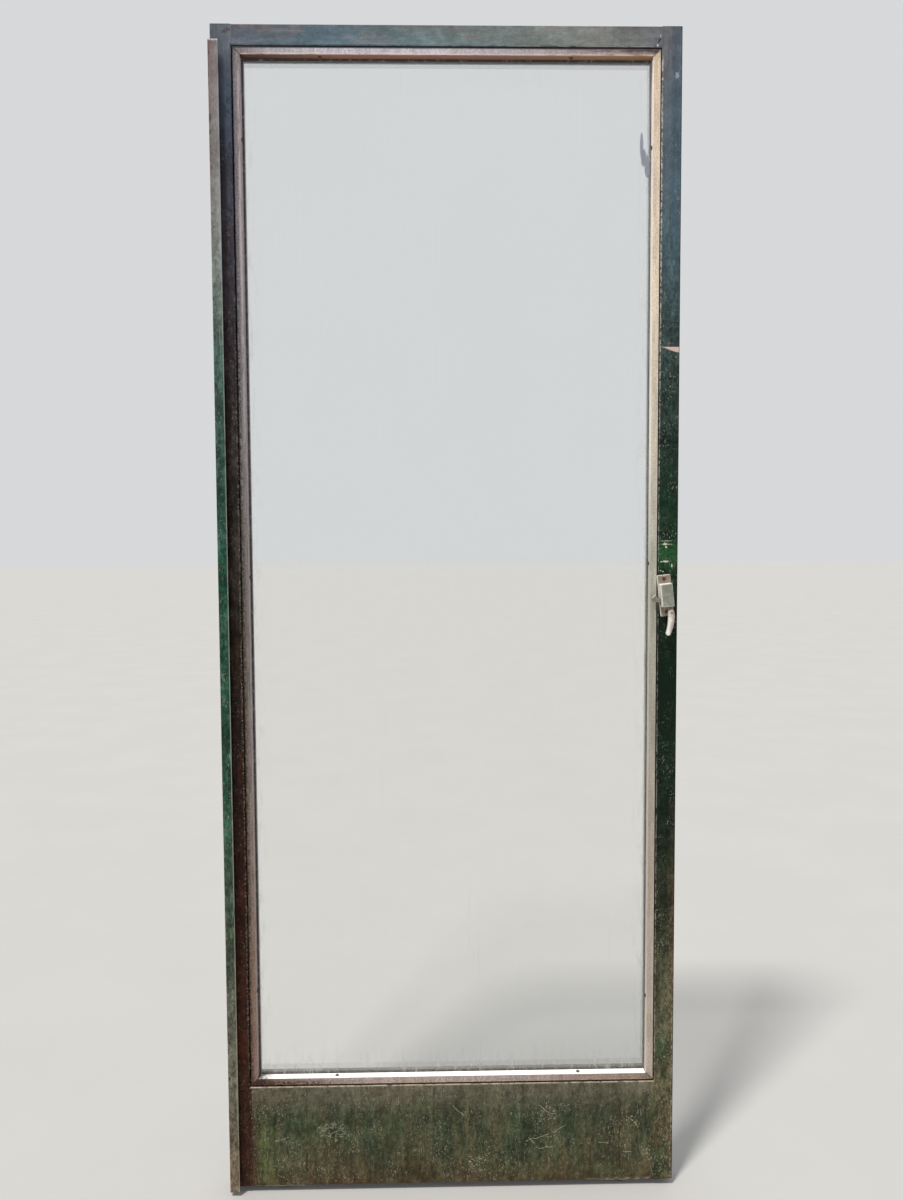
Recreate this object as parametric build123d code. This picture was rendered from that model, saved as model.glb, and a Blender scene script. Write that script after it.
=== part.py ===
from build123d import *
from math import atan2, degrees
import os

os.makedirs("parts", exist_ok=True)

# Glazed sliding leaf of a balcony window, in millimetres.
# X runs across the leaf, Y from the front to the back, Z up.
# The origin lies under the middle of the leaf, on the line where its wheels run.

# Folded steel frame
leaf_width = 800.0
leaf_height = 2035.0
stile_face = 35.0
rail_face = 34.0
panel_face = 185.0
rebate_depth = 21.5
leg_width = 14.0
leg_depth = 13.5
sheet = 1.25
inner_bend = 0.6
panel_lip = 8.0
cope_relief = 0.7
track_gap = 8.0

# Interlock strip on the hidden stile
strip_sheet = 2.0
strip_flange = 17.4
strip_web = 28.0
strip_groove = 8.0
strip_bend = 1.0
strip_top_gap = 30.0
strip_drop = 4.0

# Glass and its bed
glass_thickness = 4.0
glass_side_gap = 4.0
block_height = 5.0
block_length = 60.0
block_clearance = 0.7
block_end_gap = 180.0
arris = 0.4

# Hollow aluminium beads
bead_width = 12.5
bead_depth = 14.0
bead_wall = 1.2
bead_corner = 0.8
bead_side_gap = 2.0
bead_top_gap = 3.0
bead_bottom_gap = 3.5
mitre_gap = 0.4

# Screws
hole_clearance = 0.05
screw_shank = 1.75
pan_radius = 3.25
pan_height = 2.0
bead_screw_spare = 4.0
bead_screw_end_gap = 150.0
# How far each hand-drilled hole strays from its place, clockwise round the glass
top_bead_drift = [-3.0, -2.0]
right_bead_drift = [11.0, -31.0, -3.5]
bottom_bead_drift = [-15.0, -4.0]
left_bead_drift = [21.5, 10.0, 0.0]

# Latch, drawn upright about its middle: first across, then up, then out of the stile
latch_edge = 21.7
latch_height = 1068.0
latch_tilt = 6.0
plate_width = 24.0
plate_height = 73.0
plate_thickness = 2.0
plate_corner = 2.0
plate_screw_span = 58.0
latch_screw_length = 12.0
flat_head_radius = 3.5
flat_head_height = 1.7
case_width = 21.0
case_bottom = -19.0
case_top = 21.5
case_depth = 15.0
case_wall = 1.2
case_brow = 3.0
case_edge = 1.3
slot_under = 5.5
slot_front = 1.0
hook_sheet = 2.5
hook_stand = 2.8
hook_tip = (-25.1, -1.3)
hook_apex = (-17.9, 4.1)
hook_throat = -15.9
hook_bottom = (-21.9, -8.6)
hook_heel = -13.6
hook_corner = 0.6
arm_height = 8.3
pivot_at = (2.0, -9.0)
pivot_radius = 2.5
pivot_boss = 6.3
pivot_collar = 4.0
pivot_head = 3.8
pivot_head_height = 1.4
end_play = 0.3
tail_knee = (1.5, -21.5)
tail_width = 5.0
rivet_at = (5.7, -31.6)
rivet_radius = 1.75
rivet_head = 3.0
rivet_head_height = 1.2
rivet_boss = 4.4
dimple_radius = 2.6
dimple_depth = 1.1
lever_thickness = 6.0
lever_head = (4.7, -30.0)
lever_head_radius = 5.5
lever_tip = (-3.6, -66.2)
lever_tip_radius = 4.0
lever_outer_sweep = 72.0
lever_inner_sweep = 90.0
lever_slope = 1.4
lever_round = 1.8
spring_sheet = 0.5
spring_width = 4.6
spring_bend = 1.4
spring_side_gap = 0.8
seat_length = 8.0
rest_gap = 0.3

# Wheels in the hollow of the kick panel
wheel_end_gap = 95.0
wheel_root = 14.0
wheel_flange = 18.0
wheel_width = 10.0
wheel_groove = 6.0
wheel_side_gap = 0.5
axle_radius = 3.0
axle_fit = 0.05
axle_head = 4.6
axle_head_height = 1.4
housing_sheet = 2.0
housing_length = 76.0
housing_bend = 0.8
housing_flange = 8.0
crown_gap = 2.0
roller_screw_span = 56.0
roller_screw_length = 8.0

# Levels and planes that follow from the frame
outer_bend = inner_bend + sheet
leaf_depth = rebate_depth + leg_depth
half_width = leaf_width / 2
front = -leaf_depth / 2
rebate_back = front + rebate_depth
bead_back = front + bead_depth
glass_back = bead_back + glass_thickness
underside = track_gap
top = underside + leaf_height
panel_top = underside + panel_face
rail_under = top - rail_face
stile_inner = half_width - stile_face
leg_inner = stile_inner - leg_width
leg_under = rail_under - leg_width
leg_over = panel_top + leg_width


def save(solid, name):
    solid.label = name
    export_step(solid, os.path.join("parts", name + ".step"))


def group(solids):
    return Compound(children=list(solids))


def region(points, radii=0.0):
    """Flat face with a radius at each corner."""
    return make_face(FilletPolyline(*points, radius=radii, close=True))


def block(low, high):
    """Box between two opposite corners."""
    size = [b - a for a, b in zip(low, high)]
    return Pos(*low) * Box(*size, align=(Align.MIN, Align.MIN, Align.MIN))


def folded_tube(face):
    """Closed section of the frame: a face, a rebate for the glass, and a leg behind it."""
    reach = face + leg_width
    skin = region(
        [(0, 0), (face, 0), (face, rebate_depth), (reach, rebate_depth),
         (reach, leaf_depth), (0, leaf_depth)],
        [outer_bend, outer_bend, inner_bend, outer_bend, outer_bend, outer_bend],
    )
    back = leaf_depth - sheet
    step = rebate_depth + sheet
    hollow = region(
        [(sheet, sheet), (face - sheet, sheet), (face - sheet, step), (reach - sheet, step),
         (reach - sheet, back), (sheet, back)],
        [inner_bend, inner_bend, outer_bend, inner_bend, inner_bend, inner_bend],
    )
    return skin - hollow


def drill(start, direction, radius, depth):
    """Round cutter from a point along a direction."""
    return Plane(origin=start, z_dir=direction) * Cylinder(
        radius, depth, align=(Align.CENTER, Align.CENTER, Align.MIN))


def pan_screw(length):
    """Pan head screw along Z, with the underside of its head at zero."""
    outline = Polyline((0, -pan_height), (0, length), (screw_shank, length), (screw_shank, 0),
                       (pan_radius, 0), (pan_radius, -pan_height), close=True)
    return revolve(Plane.XZ * make_face(outline), Axis.Z)


# Stiles: full-height folded tubes with open ends, mirror images of each other
stile = extrude(
    Plane(origin=(-half_width, front, underside), x_dir=(1, 0, 0), z_dir=(0, 0, 1)) * folded_tube(stile_face),
    leaf_height, dir=(0, 0, 1))
left_stile = stile
right_stile = mirror(stile, about=Plane.YZ)


def cross_member(face):
    """Member of the frame along Z, coped at both ends round the stiles' glazing legs."""
    length = 2 * stile_inner
    member = extrude(folded_tube(face), length, dir=(0, 0, 1))
    for low, high in ((-1, leg_width), (length - leg_width, length + 1)):
        member -= block((-1, rebate_depth - cope_relief, low), (face + leg_width + 1, leaf_depth + 1, high))
    return member


# Top rail, and the deep kick panel that is open below between two lips
rail_frame = Plane(origin=(-stile_inner, front, top), x_dir=(0, 0, -1), z_dir=(1, 0, 0))
panel_frame = Plane(origin=(stile_inner, front, underside), x_dir=(0, 0, 1), z_dir=(-1, 0, 0))
top_rail = rail_frame.location * cross_member(rail_face)
kick_panel = panel_frame.location * cross_member(panel_face)
lip_edge = leaf_depth / 2 - panel_lip
kick_panel -= block((-half_width, -lip_edge, underside - 1), (half_width, lip_edge, underside + 2 * sheet))


# Beads: four hollow bars mitred at the corners, their fronts level with the frame's face
bead_side = stile_inner - bead_side_gap
bead_upper = rail_under - bead_top_gap
bead_lower = panel_top + bead_bottom_gap
bead_mid = (bead_upper + bead_lower) / 2
bead_tall = bead_upper - bead_lower
bead_wide = 2 * bead_side


def bead_bar(length):
    """Bead along X, outer side at zero and glass side below, back at zero and front above."""
    skin = region(
        [(0, 0), (-bead_width, 0), (-bead_width, bead_depth), (0, bead_depth)], [bead_corner] * 4)
    hollow = region(
        [(-bead_wall, bead_wall), (bead_wall - bead_width, bead_wall),
         (bead_wall - bead_width, bead_depth - bead_wall), (-bead_wall, bead_depth - bead_wall)])
    section = Plane(origin=(-length / 2, 0, 0), x_dir=(0, 1, 0), z_dir=(1, 0, 0)) * (skin - hollow)
    end = length / 2 - mitre_gap / 2
    mitred = region([(-end, 0), (end, 0), (end - bead_width, -bead_width), (bead_width - end, -bead_width)])
    return extrude(section, length, dir=(1, 0, 0)) & extrude(mitred, bead_depth, dir=(0, 0, 1))


def bead_frame(origin, along):
    return Plane(origin=origin, x_dir=along, z_dir=(0, -1, 0))


top_bead_frame = bead_frame((0, bead_back, bead_upper), (1, 0, 0))
bottom_bead_frame = bead_frame((0, bead_back, bead_lower), (-1, 0, 0))
left_bead_frame = bead_frame((-bead_side, bead_back, bead_mid), (0, 0, 1))
right_bead_frame = bead_frame((bead_side, bead_back, bead_mid), (0, 0, -1))


def spread(length, drift):
    """Places of two or three screws along a bead, each with its own drift."""
    end = length / 2 - bead_screw_end_gap
    nominal = [-end, end] if len(drift) == 2 else [-end, 0.0, end]
    return [place + stray for place, stray in zip(nominal, drift)]


beads = {
    "top_bead": (top_bead_frame, bead_wide, top_bead_drift, bead_top_gap),
    "right_bead": (right_bead_frame, bead_tall, right_bead_drift, bead_side_gap),
    "bottom_bead": (bottom_bead_frame, bead_wide, bottom_bead_drift, bead_bottom_gap),
    "left_bead": (left_bead_frame, bead_tall, left_bead_drift, bead_side_gap),
}
hole_radius = screw_shank + hole_clearance
bead_bars = {}
bead_screws = []
frame_drills = []
for name, (frame, length, drift, gap) in beads.items():
    bar = bead_bar(length)
    screw_length = bead_width + gap + sheet + bead_screw_spare
    for place in spread(length, drift):
        seat = (place, -bead_width, bead_depth / 2)
        bar -= drill(seat, (0, 1, 0), hole_radius, bead_width)
        screw = Plane(origin=seat, x_dir=(1, 0, 0), z_dir=(0, 1, 0)) * pan_screw(screw_length)
        bead_screws.append(frame.location * screw)
        frame_drills.append(frame.location * drill(seat, (0, 1, 0), hole_radius, screw_length))
    bead_bars[name] = frame.location * bar

for cutter in frame_drills:
    left_stile -= cutter
    right_stile -= cutter
    top_rail -= cutter
    kick_panel -= cutter

# Interlock strip: a folded angle whose web lies on the stile's outer side
strip_reach = strip_groove + strip_sheet
strip_outline = region(
    [(0, 0), (strip_flange, 0), (strip_flange, strip_sheet), (strip_sheet, strip_sheet),
     (strip_sheet, strip_web), (0, strip_web)],
    [strip_bend + strip_sheet, 0, 0, strip_bend, 0, 0])
strip_bottom = underside - strip_drop
strip_length = top - strip_top_gap - strip_bottom
interlock_strip = extrude(
    Plane(origin=(-half_width - strip_sheet, front - strip_reach, strip_bottom),
          x_dir=(1, 0, 0), z_dir=(0, 0, 1)) * strip_outline,
    strip_length, dir=(0, 0, 1))

# Glass on two setting blocks, bedded on a ring of putty against the legs
glass_half = stile_inner - glass_side_gap
glass_bottom = panel_top + block_height
glass_top = rail_under - glass_side_gap
glass_pane = block((-glass_half, bead_back, glass_bottom), (glass_half, glass_back, glass_top))
glass_pane = chamfer(glass_pane.edges(), arris)
putty_ring = block((-glass_half, glass_back, glass_bottom), (glass_half, rebate_back, glass_top))
putty_ring -= block((-leg_inner, glass_back - 1, leg_over), (leg_inner, rebate_back + 1, leg_under))
setting_blocks = []
for side in (-1, 1):
    middle = side * (glass_half - block_end_gap)
    pad = block(
        (middle - block_length / 2, bead_back + block_clearance, panel_top),
        (middle + block_length / 2, rebate_back - block_clearance, glass_bottom))
    setting_blocks.append(chamfer(pad.edges().filter_by(Axis.Y), arris))


# Latch: everything is drawn about the middle of its plate and then laid on the tilted plane
latch_across = Vector(1, 0, 0).rotate(Axis.Y, -latch_tilt)
latch_plane = Plane(
    origin=(half_width - latch_edge, front, underside + latch_height),
    x_dir=latch_across, z_dir=(0, -1, 0))
hook_back = plate_thickness + hook_stand
hook_front = hook_back + hook_sheet
lever_front = hook_front + lever_thickness
screw_heights = (plate_screw_span / 2, -plate_screw_span / 2)


def turned(profile, at, base=0.0):
    """Turned piece on an axis that stands out of the latch plate, from (radius, height) points."""
    solid = revolve(Plane.XZ * make_face(Polyline(*profile, close=True)), Axis.Z)
    return Pos(at[0], at[1], base) * solid


def hole(at, radius, low, high):
    return Pos(at[0], at[1], low) * Cylinder(
        radius, high - low, align=(Align.CENTER, Align.CENTER, Align.MIN))


def link(start, end, width):
    """Flat bar with round ends between two points."""
    across, up = end[0] - start[0], end[1] - start[1]
    length = (across ** 2 + up ** 2) ** 0.5
    middle = ((start[0] + end[0]) / 2, (start[1] + end[1]) / 2)
    return Pos(*middle) * Rot(0, 0, degrees(atan2(up, across))) * SlotCenterToCenter(length, width)


# Back plate with two countersunk holes and the hole that the pivot is riveted into
latch_plate = extrude(RectangleRounded(plate_width, plate_height, plate_corner), plate_thickness)
latch_plate -= hole(pivot_at, pivot_radius + hole_clearance, -1, plate_thickness + 1)
latch_screws = []
for height in screw_heights:
    head_level = plate_thickness - flat_head_height
    latch_plate -= hole((0, height), hole_radius, -1, plate_thickness + 1)
    latch_plate -= turned(
        [(0, head_level), (hole_radius, head_level), (flat_head_radius + hole_clearance, plate_thickness),
         (flat_head_radius + hole_clearance, plate_thickness + 1), (0, plate_thickness + 1)], (0, height))
    screw = turned(
        [(0, plate_thickness), (flat_head_radius, plate_thickness), (screw_shank, head_level),
         (screw_shank, -latch_screw_length), (0, -latch_screw_length)], (0, height))
    latch_screws.append(latch_plane.location * screw)
    right_stile -= latch_plane.location * hole((0, height), hole_radius, -latch_screw_length - 1, 1)

# Pressed case: open behind and below, with a slot in its left wall for the hook
case_front = plate_thickness + case_depth
case_half = case_width / 2
case_body = block((-case_half, case_bottom, plate_thickness), (case_half, case_top, case_front))
brow = case_body.edges().filter_by(Axis.X).group_by(Axis.Z)[-1].sort_by(Axis.Y)[-1]
case_body = fillet(brow, case_brow)
cheeks = case_body.edges().filter_by(Axis.Y).group_by(Axis.Z)[-1]
case_body = fillet(cheeks, case_edge)
room = block(
    (case_wall - case_half, case_bottom - 1, plate_thickness - 1),
    (case_half - case_wall, case_top - case_wall, case_front - case_wall))
room_brow = room.edges().filter_by(Axis.X).group_by(Axis.Z)[-1].sort_by(Axis.Y)[-1]
latch_case = case_body - fillet(room_brow, case_brow - case_wall)
arm_top = pivot_at[1] + pivot_boss
arm_under = arm_top - arm_height
slot_low = arm_under - slot_under
latch_case -= block(
    (-case_half - 1, slot_low, plate_thickness - 1),
    (-case_half + 2 * case_wall, arm_top + rest_gap, hook_front + slot_front))
seat_top = case_bottom + case_wall
latch_case += block(
    (case_wall - case_half, case_bottom, hook_back - slot_front),
    (seat_length - case_half, seat_top, hook_back - slot_front + spring_width + 2 * slot_front))

# Hook: one flat stamping with its beak, arm, pivot boss and tail
beak = region(
    [hook_tip, hook_bottom, (hook_heel, arm_under), (pivot_at[0], arm_under), (pivot_at[0], arm_top),
     (hook_throat, arm_top), hook_apex],
    [hook_corner, hook_corner, hook_corner, 0, 0, hook_corner, hook_corner])
hook_outline = beak + Pos(*pivot_at) * Circle(pivot_boss)
hook_outline += link((tail_knee[0], pivot_at[1]), tail_knee, tail_width)
hook_outline += link(tail_knee, rivet_at, tail_width)
hook_outline += Pos(*rivet_at) * Circle(rivet_boss)
latch_hook = Pos(0, 0, hook_back) * extrude(hook_outline, hook_sheet)
latch_hook -= hole(pivot_at, pivot_radius + hole_clearance, 0, hook_front + 1)
latch_hook -= hole(rivet_at, rivet_radius + hole_clearance, 0, hook_front + 1)

# Shouldered pivot pin, riveted over at the plate and headed in front of the hook
collar_top = hook_back - end_play
head_back = hook_front + end_play
latch_pivot_pin = turned(
    [(0, 0), (pivot_radius, 0), (pivot_radius, plate_thickness), (pivot_collar, plate_thickness),
     (pivot_collar, collar_top), (pivot_radius, collar_top), (pivot_radius, head_back),
     (pivot_head, head_back), (pivot_head, head_back + pivot_head_height),
     (0, head_back + pivot_head_height)],
    pivot_at)


def side_arc(sweep, outside):
    """Arc that runs smoothly past the lever's head and tip, round a centre on its left."""
    head, tip = Vector(*lever_head), Vector(*lever_tip)
    to_head = sweep - outside * lever_head_radius
    to_tip = sweep - outside * lever_tip_radius
    gap = (tip - head).length
    along = (tip - head) / gap
    reach = (to_head ** 2 - to_tip ** 2 + gap ** 2) / (2 * gap)
    aside = Vector(along.Y, -along.X) * (to_head ** 2 - reach ** 2) ** 0.5
    centre = head + along * reach + aside
    rays = [(end - centre).normalized() for end in (head, tip)]
    rays.insert(1, (rays[0] + rays[1]).normalized())
    return [centre + ray * sweep for ray in rays]


# Cast thumb lever, curved like a finger, with the rivet sunk in a dimple in its head
right_side = side_arc(lever_outer_sweep, 1)
left_side = side_arc(lever_inner_sweep, -1)
lever_axis = (Vector(*lever_tip) - Vector(*lever_head)).normalized()
head_end = Vector(*lever_head) - lever_axis * lever_head_radius
tip_end = Vector(*lever_tip) + lever_axis * lever_tip_radius
lever_outline = make_face(Curve() + [
    ThreePointArc(*right_side),
    ThreePointArc(right_side[2], tip_end, left_side[2]),
    ThreePointArc(*left_side),
    ThreePointArc(left_side[0], head_end, right_side[0]),
])
latch_lever = Pos(0, 0, hook_front) * extrude(lever_outline, lever_thickness, dir=(0, 0, 1))
latch_lever = chamfer(latch_lever.faces().sort_by(Axis.Z)[-1].edges(), lever_slope, lever_round)
latch_lever -= hole(rivet_at, rivet_radius + hole_clearance, 0, lever_front + 1)
latch_lever -= hole(rivet_at, dimple_radius, lever_front - dimple_depth, lever_front + 1)
rivet_top = lever_front - dimple_depth
latch_rivet = turned(
    [(0, hook_back - rivet_head_height), (rivet_head, hook_back - rivet_head_height), (rivet_head, hook_back),
     (rivet_radius, hook_back), (rivet_radius, rivet_top), (dimple_radius - rest_gap, rivet_top),
     (dimple_radius - rest_gap, rivet_top + dimple_depth / 2), (0, rivet_top + dimple_depth / 2)], rivet_at)

# Leaf spring: a folded strip that stands on the case's seat and pushes the arm up
spring_left = -case_half + case_wall + spring_side_gap
spring_right = seat_length - case_half + spring_side_gap
spring_low = seat_top + spring_sheet / 2
spring_high = arm_under - rest_gap - spring_sheet / 2
spring_line = FilletPolyline(
    (spring_left, spring_low), (spring_right, spring_low), (spring_left, spring_high), radius=spring_bend)
spring_outline = trace(spring_line, spring_sheet)
latch_spring = Pos(0, 0, hook_back) * extrude(spring_outline, spring_width, dir=(0, 0, 1))

# Wheels: grooved steel wheels on riveted axles, in top-hat housings that two screws each hold to the lips
cheek_inner = wheel_width / 2 + wheel_side_gap
cheek_outer = cheek_inner + housing_sheet
flange_edge = cheek_outer + housing_flange
flange_low = underside - housing_sheet
crown_under = wheel_root + wheel_flange + crown_gap
crown_over = crown_under + housing_sheet
housing_outer_bend = housing_bend + housing_sheet
hat = region(
    [(flange_edge, flange_low), (flange_edge, underside), (cheek_outer, underside),
     (cheek_outer, crown_over), (-cheek_outer, crown_over), (-cheek_outer, underside),
     (-flange_edge, underside), (-flange_edge, flange_low), (-cheek_inner, flange_low),
     (-cheek_inner, crown_under), (cheek_inner, crown_under), (cheek_inner, flange_low)],
    [0, 0, housing_bend, housing_outer_bend, housing_outer_bend, housing_bend, 0, 0,
     housing_outer_bend, housing_bend, housing_bend, housing_outer_bend])
groove_half = wheel_groove / 2
wheel_half = wheel_width / 2
bore = axle_radius + axle_fit
wheel_outline = make_face(Polyline(
    (bore, -wheel_half), (wheel_flange, -wheel_half), (wheel_flange, -groove_half),
    (wheel_root, -groove_half), (wheel_root, groove_half), (wheel_flange, groove_half),
    (wheel_flange, wheel_half), (bore, wheel_half), close=True))
axle_end = cheek_outer + axle_head_height
axle_outline = make_face(Polyline(
    (0, -axle_end), (axle_head, -axle_end), (axle_head, -cheek_outer), (axle_radius, -cheek_outer),
    (axle_radius, cheek_outer), (axle_head, cheek_outer), (axle_head, axle_end), (0, axle_end), close=True))
lip_mid = (lip_edge + flange_edge) / 2
roller_screws = []
for name, side in (("left", -1), ("right", 1)):
    place = side * (half_width - wheel_end_gap)
    housing = extrude(
        Plane(origin=(place - housing_length / 2, 0, 0), x_dir=(0, 1, 0), z_dir=(1, 0, 0)) * hat,
        housing_length, dir=(1, 0, 0))
    housing -= Pos(place, 0, wheel_root) * Rot(90, 0, 0) * Cylinder(bore, 2 * axle_end)
    for corner in (-1, 1):
        start = (place + corner * roller_screw_span / 2, corner * lip_mid, flange_low)
        shaft = drill(start, (0, 0, 1), hole_radius, roller_screw_length)
        housing -= shaft
        kick_panel -= shaft
        roller_screws.append(Pos(*start) * pan_screw(roller_screw_length))
    spin = Pos(place, 0, wheel_root)
    save(housing, name + "_roller_housing")
    save(spin * revolve(wheel_outline, Axis.Y), name + "_roller_wheel")
    save(spin * revolve(axle_outline, Axis.Y), name + "_roller_axle")
save(group(roller_screws), "roller_screws")

save(left_stile, "left_stile")
save(right_stile, "right_stile")
save(top_rail, "top_rail")
save(kick_panel, "kick_panel")
save(interlock_strip, "interlock_strip")
save(glass_pane, "glass_pane")
save(putty_ring, "glazing_putty")
save(group(setting_blocks), "setting_blocks")
for name, bar in bead_bars.items():
    save(bar, name)
save(group(bead_screws), "bead_screws")
save(group(latch_screws), "latch_screws")
latch_pieces = {
    "latch_plate": latch_plate,
    "latch_case": latch_case,
    "latch_hook": latch_hook,
    "latch_pivot_pin": latch_pivot_pin,
    "latch_lever": latch_lever,
    "latch_rivet": latch_rivet,
    "latch_spring": latch_spring,
}
for name, solid in latch_pieces.items():
    save(latch_plane.location * solid, name)
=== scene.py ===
from math import cos, hypot, radians, sin

import bmesh
import bpy
from mathutils import Matrix, Vector


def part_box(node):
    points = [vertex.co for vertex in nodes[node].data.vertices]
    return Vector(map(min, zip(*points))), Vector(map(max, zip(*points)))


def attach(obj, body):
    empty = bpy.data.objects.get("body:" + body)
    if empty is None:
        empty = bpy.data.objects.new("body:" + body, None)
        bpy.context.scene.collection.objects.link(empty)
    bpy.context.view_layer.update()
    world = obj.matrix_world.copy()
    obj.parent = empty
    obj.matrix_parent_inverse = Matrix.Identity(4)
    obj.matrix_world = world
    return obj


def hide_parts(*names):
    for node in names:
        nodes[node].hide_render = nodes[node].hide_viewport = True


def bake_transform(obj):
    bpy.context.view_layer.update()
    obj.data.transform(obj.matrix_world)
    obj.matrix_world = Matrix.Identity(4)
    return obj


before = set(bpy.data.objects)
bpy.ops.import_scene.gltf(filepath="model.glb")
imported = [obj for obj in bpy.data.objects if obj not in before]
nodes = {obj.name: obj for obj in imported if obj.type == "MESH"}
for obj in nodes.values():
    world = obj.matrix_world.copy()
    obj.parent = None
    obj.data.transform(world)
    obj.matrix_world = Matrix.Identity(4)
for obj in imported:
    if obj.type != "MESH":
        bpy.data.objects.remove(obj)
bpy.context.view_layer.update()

# Folded frame: two stiles, a top rail and a deep kick panel of thin sheet steel, welded at
# the corners and painted by brush in dark green gloss. Its top runs to a slate blue and its
# middle to a dark green, partly weathered paint and partly painted reflection of the sky and
# of dark surroundings; the paint is chipped down to rust along its edges, and dirt clings low down.


def tone(colour):
    """Colour as the eye sees it, from 0 to 255, made linear for a shader; a node stays a node."""
    if not isinstance(colour, tuple):
        return colour
    channels = [value / 255 for value in colour]
    return [c / 12.92 if c <= 0.04045 else ((c + 0.055) / 1.055) ** 2.4 for c in channels] + [1.0]


class Wiring:
    """Adds nodes to a tree and joins them; a node given as an input stands for its first output."""

    prefix = "ShaderNode"

    def __init__(self, tree):
        self.tree = tree

    def plug(self, socket, value):
        if isinstance(value, bpy.types.Node):
            value = value.outputs[0]
        if isinstance(value, bpy.types.NodeSocket):
            self.tree.links.new(value, socket)
        elif value is not None:
            socket.default_value = value

    def made(self, kind, inputs, settings):
        node = self.tree.nodes.new(kind)
        for key, value in settings.items():
            setattr(node, key, value)
        for socket, value in zip(node.inputs, inputs):
            self.plug(socket, value)
        return node

    def add(self, kind, *inputs, **settings):
        return self.made(self.prefix + kind, inputs, settings)

    def calc(self, operation, *values):
        return self.made("ShaderNodeMath", values, {"operation": operation})

    def less(self, value, other):
        return self.calc("SUBTRACT", value, other)

    def times(self, *values):
        result = values[0]
        for value in values[1:]:
            result = self.calc("MULTIPLY", result, value)
        return result


class Coat(Wiring):
    """Finish laid in layers, whose nodes read the place on the object in metres."""

    def __init__(self, name, colour, roughness, metallic=0.0, specular=0.5):
        self.material = bpy.data.materials.new(name)
        self.material.use_nodes = True
        super().__init__(self.material.node_tree)
        self.shader = self.tree.nodes["Principled BSDF"]
        self.put("Roughness", roughness)
        self.put("Metallic", metallic)
        self.put("Specular IOR Level", specular)
        self.place = self.add("TexCoord").outputs["Object"]
        self.x, self.y, self.z = self.add("SeparateXYZ", self.place).outputs
        self.colour = colour
        self.normal = None

    def put(self, name, value):
        self.plug(self.shader.inputs[name], value)

    def noise(self, size, detail=4, roughness=0.6, shift=0):
        """Cloudy pattern about 0.5; its grain in metres is one number, wide and high, or x, y and z."""
        sizes = size if isinstance(size, tuple) else (size, size)
        if len(sizes) == 2:
            sizes = (sizes[0], *sizes)
        scale = tuple(1 / value for value in sizes)
        place = self.add("Mapping", self.place, (shift, shift, shift), (0, 0, 0), scale)
        return self.add("TexNoise", place, None, 1.0, detail, roughness)

    def grade(self, value, low, high, start=0.0, end=1.0):
        """Value from low to high turned into start to end, and held there outside."""
        return self.add("MapRange", value, low, high, start, end, interpolation_type="SMOOTHSTEP")

    def patchy(self, low, high, size, detail=4, roughness=0.6, shift=0, start=0.0, end=1.0):
        """Patches of a cloudy pattern, none at its low value and full at its high one."""
        return self.grade(self.noise(size, detail, roughness, shift), low, high, start, end)

    def near(self, value, at, width):
        """1 where the value is at a place, falling to 0 at a width from it."""
        return self.grade(self.calc("ABSOLUTE", self.less(value, at)), 0.0, width, 1.0, 0.0)

    def either(self, *masks):
        result = masks[0]
        for mask in masks[1:]:
            result = self.calc("MAXIMUM", result, mask)
        return result

    def spot(self, x, z, reach_x, reach_z, ragged):
        """Ragged patch round a place on the front."""
        across = self.calc("POWER", self.calc("DIVIDE", self.less(self.x, x), reach_x), 2.0)
        up = self.calc("POWER", self.calc("DIVIDE", self.less(self.z, z), reach_z), 2.0)
        away = self.calc("SQRT", self.calc("ADD", across, up))
        grain = self.noise(min(reach_x, reach_z) * 0.7, 4, 0.7, x + z)
        away = self.calc("ADD", away, self.times(self.less(grain, 0.5), 4 * ragged))
        return self.grade(away, 0.8, 1.1, 1.0, 0.0)

    def stroke(self, x, z, end_x, end_z, width, broken=0.5):
        """Wavering line on the front from one place to another."""
        long = hypot(end_x - x, end_z - z)
        turn_x, turn_z = (end_x - x) / long, (end_z - z) / long
        right = self.less(self.x, x)
        up = self.less(self.z, z)
        off = self.less(self.times(up, turn_x), self.times(right, turn_z))
        waver = self.less(self.noise(0.3 * long, 4, 0.6, x + z), 0.5)
        off = self.calc("ADD", off, self.times(waver, 0.3 * long))
        along = self.calc("ADD", self.times(right, turn_x), self.times(up, turn_z))
        return self.times(
            self.near(off, 0.0, width), self.grade(along, 0.0, 0.1 * long),
            self.grade(along, long, 0.9 * long), self.patchy(broken - 0.15, broken, 0.004, 4, 0.7, z - x))

    def stops(self, value, colours):
        """Colours along a value, each given with its place on it."""
        low, high = colours[0][0], colours[-1][0]
        ramp = self.add("ValToRGB", self.calc("DIVIDE", self.less(value, low), high - low))
        points = ramp.color_ramp.elements
        while len(points) < len(colours):
            points.new(0.5)
        for point, (at, colour) in zip(points, colours):
            point.position = (at - low) / (high - low)
            point.color = tone(colour)
        return ramp

    def over(self, under, mask, colour, name=""):
        """Colour laid over another where a mask lets it."""
        return self.add("MixRGB", mask, tone(under), tone(colour), blend_type="MIX", label=name)

    def lay(self, name, colour, *masks):
        """Lays a colour over the finish so far, where every mask lets it; a number is an even mask."""
        self.colour = self.over(self.colour, self.times(*masks), colour, name)

    def vary(self, factor):
        """Makes the finish so far lighter and darker."""
        self.colour = self.add("MixRGB", 1.0, tone(self.colour), factor, blend_type="MULTIPLY")

    def relief(self, height, depth, strength=1.0):
        """Bumps of a depth in metres, laid over those before."""
        self.normal = self.add("Bump", strength, depth, None, height, self.normal)

    def finish(self, roughness=None, metallic=None):
        self.put("Base Color", self.colour)
        self.put("Roughness", roughness)
        self.put("Metallic", metallic)
        self.put("Normal", self.normal)
        return self.material


def wear(piece, material):
    """Gives a made piece, or a carried-over node by its name, its finish."""
    slots = nodes.get(piece, piece).data.materials
    slots.clear()
    slots.append(material)


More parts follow.
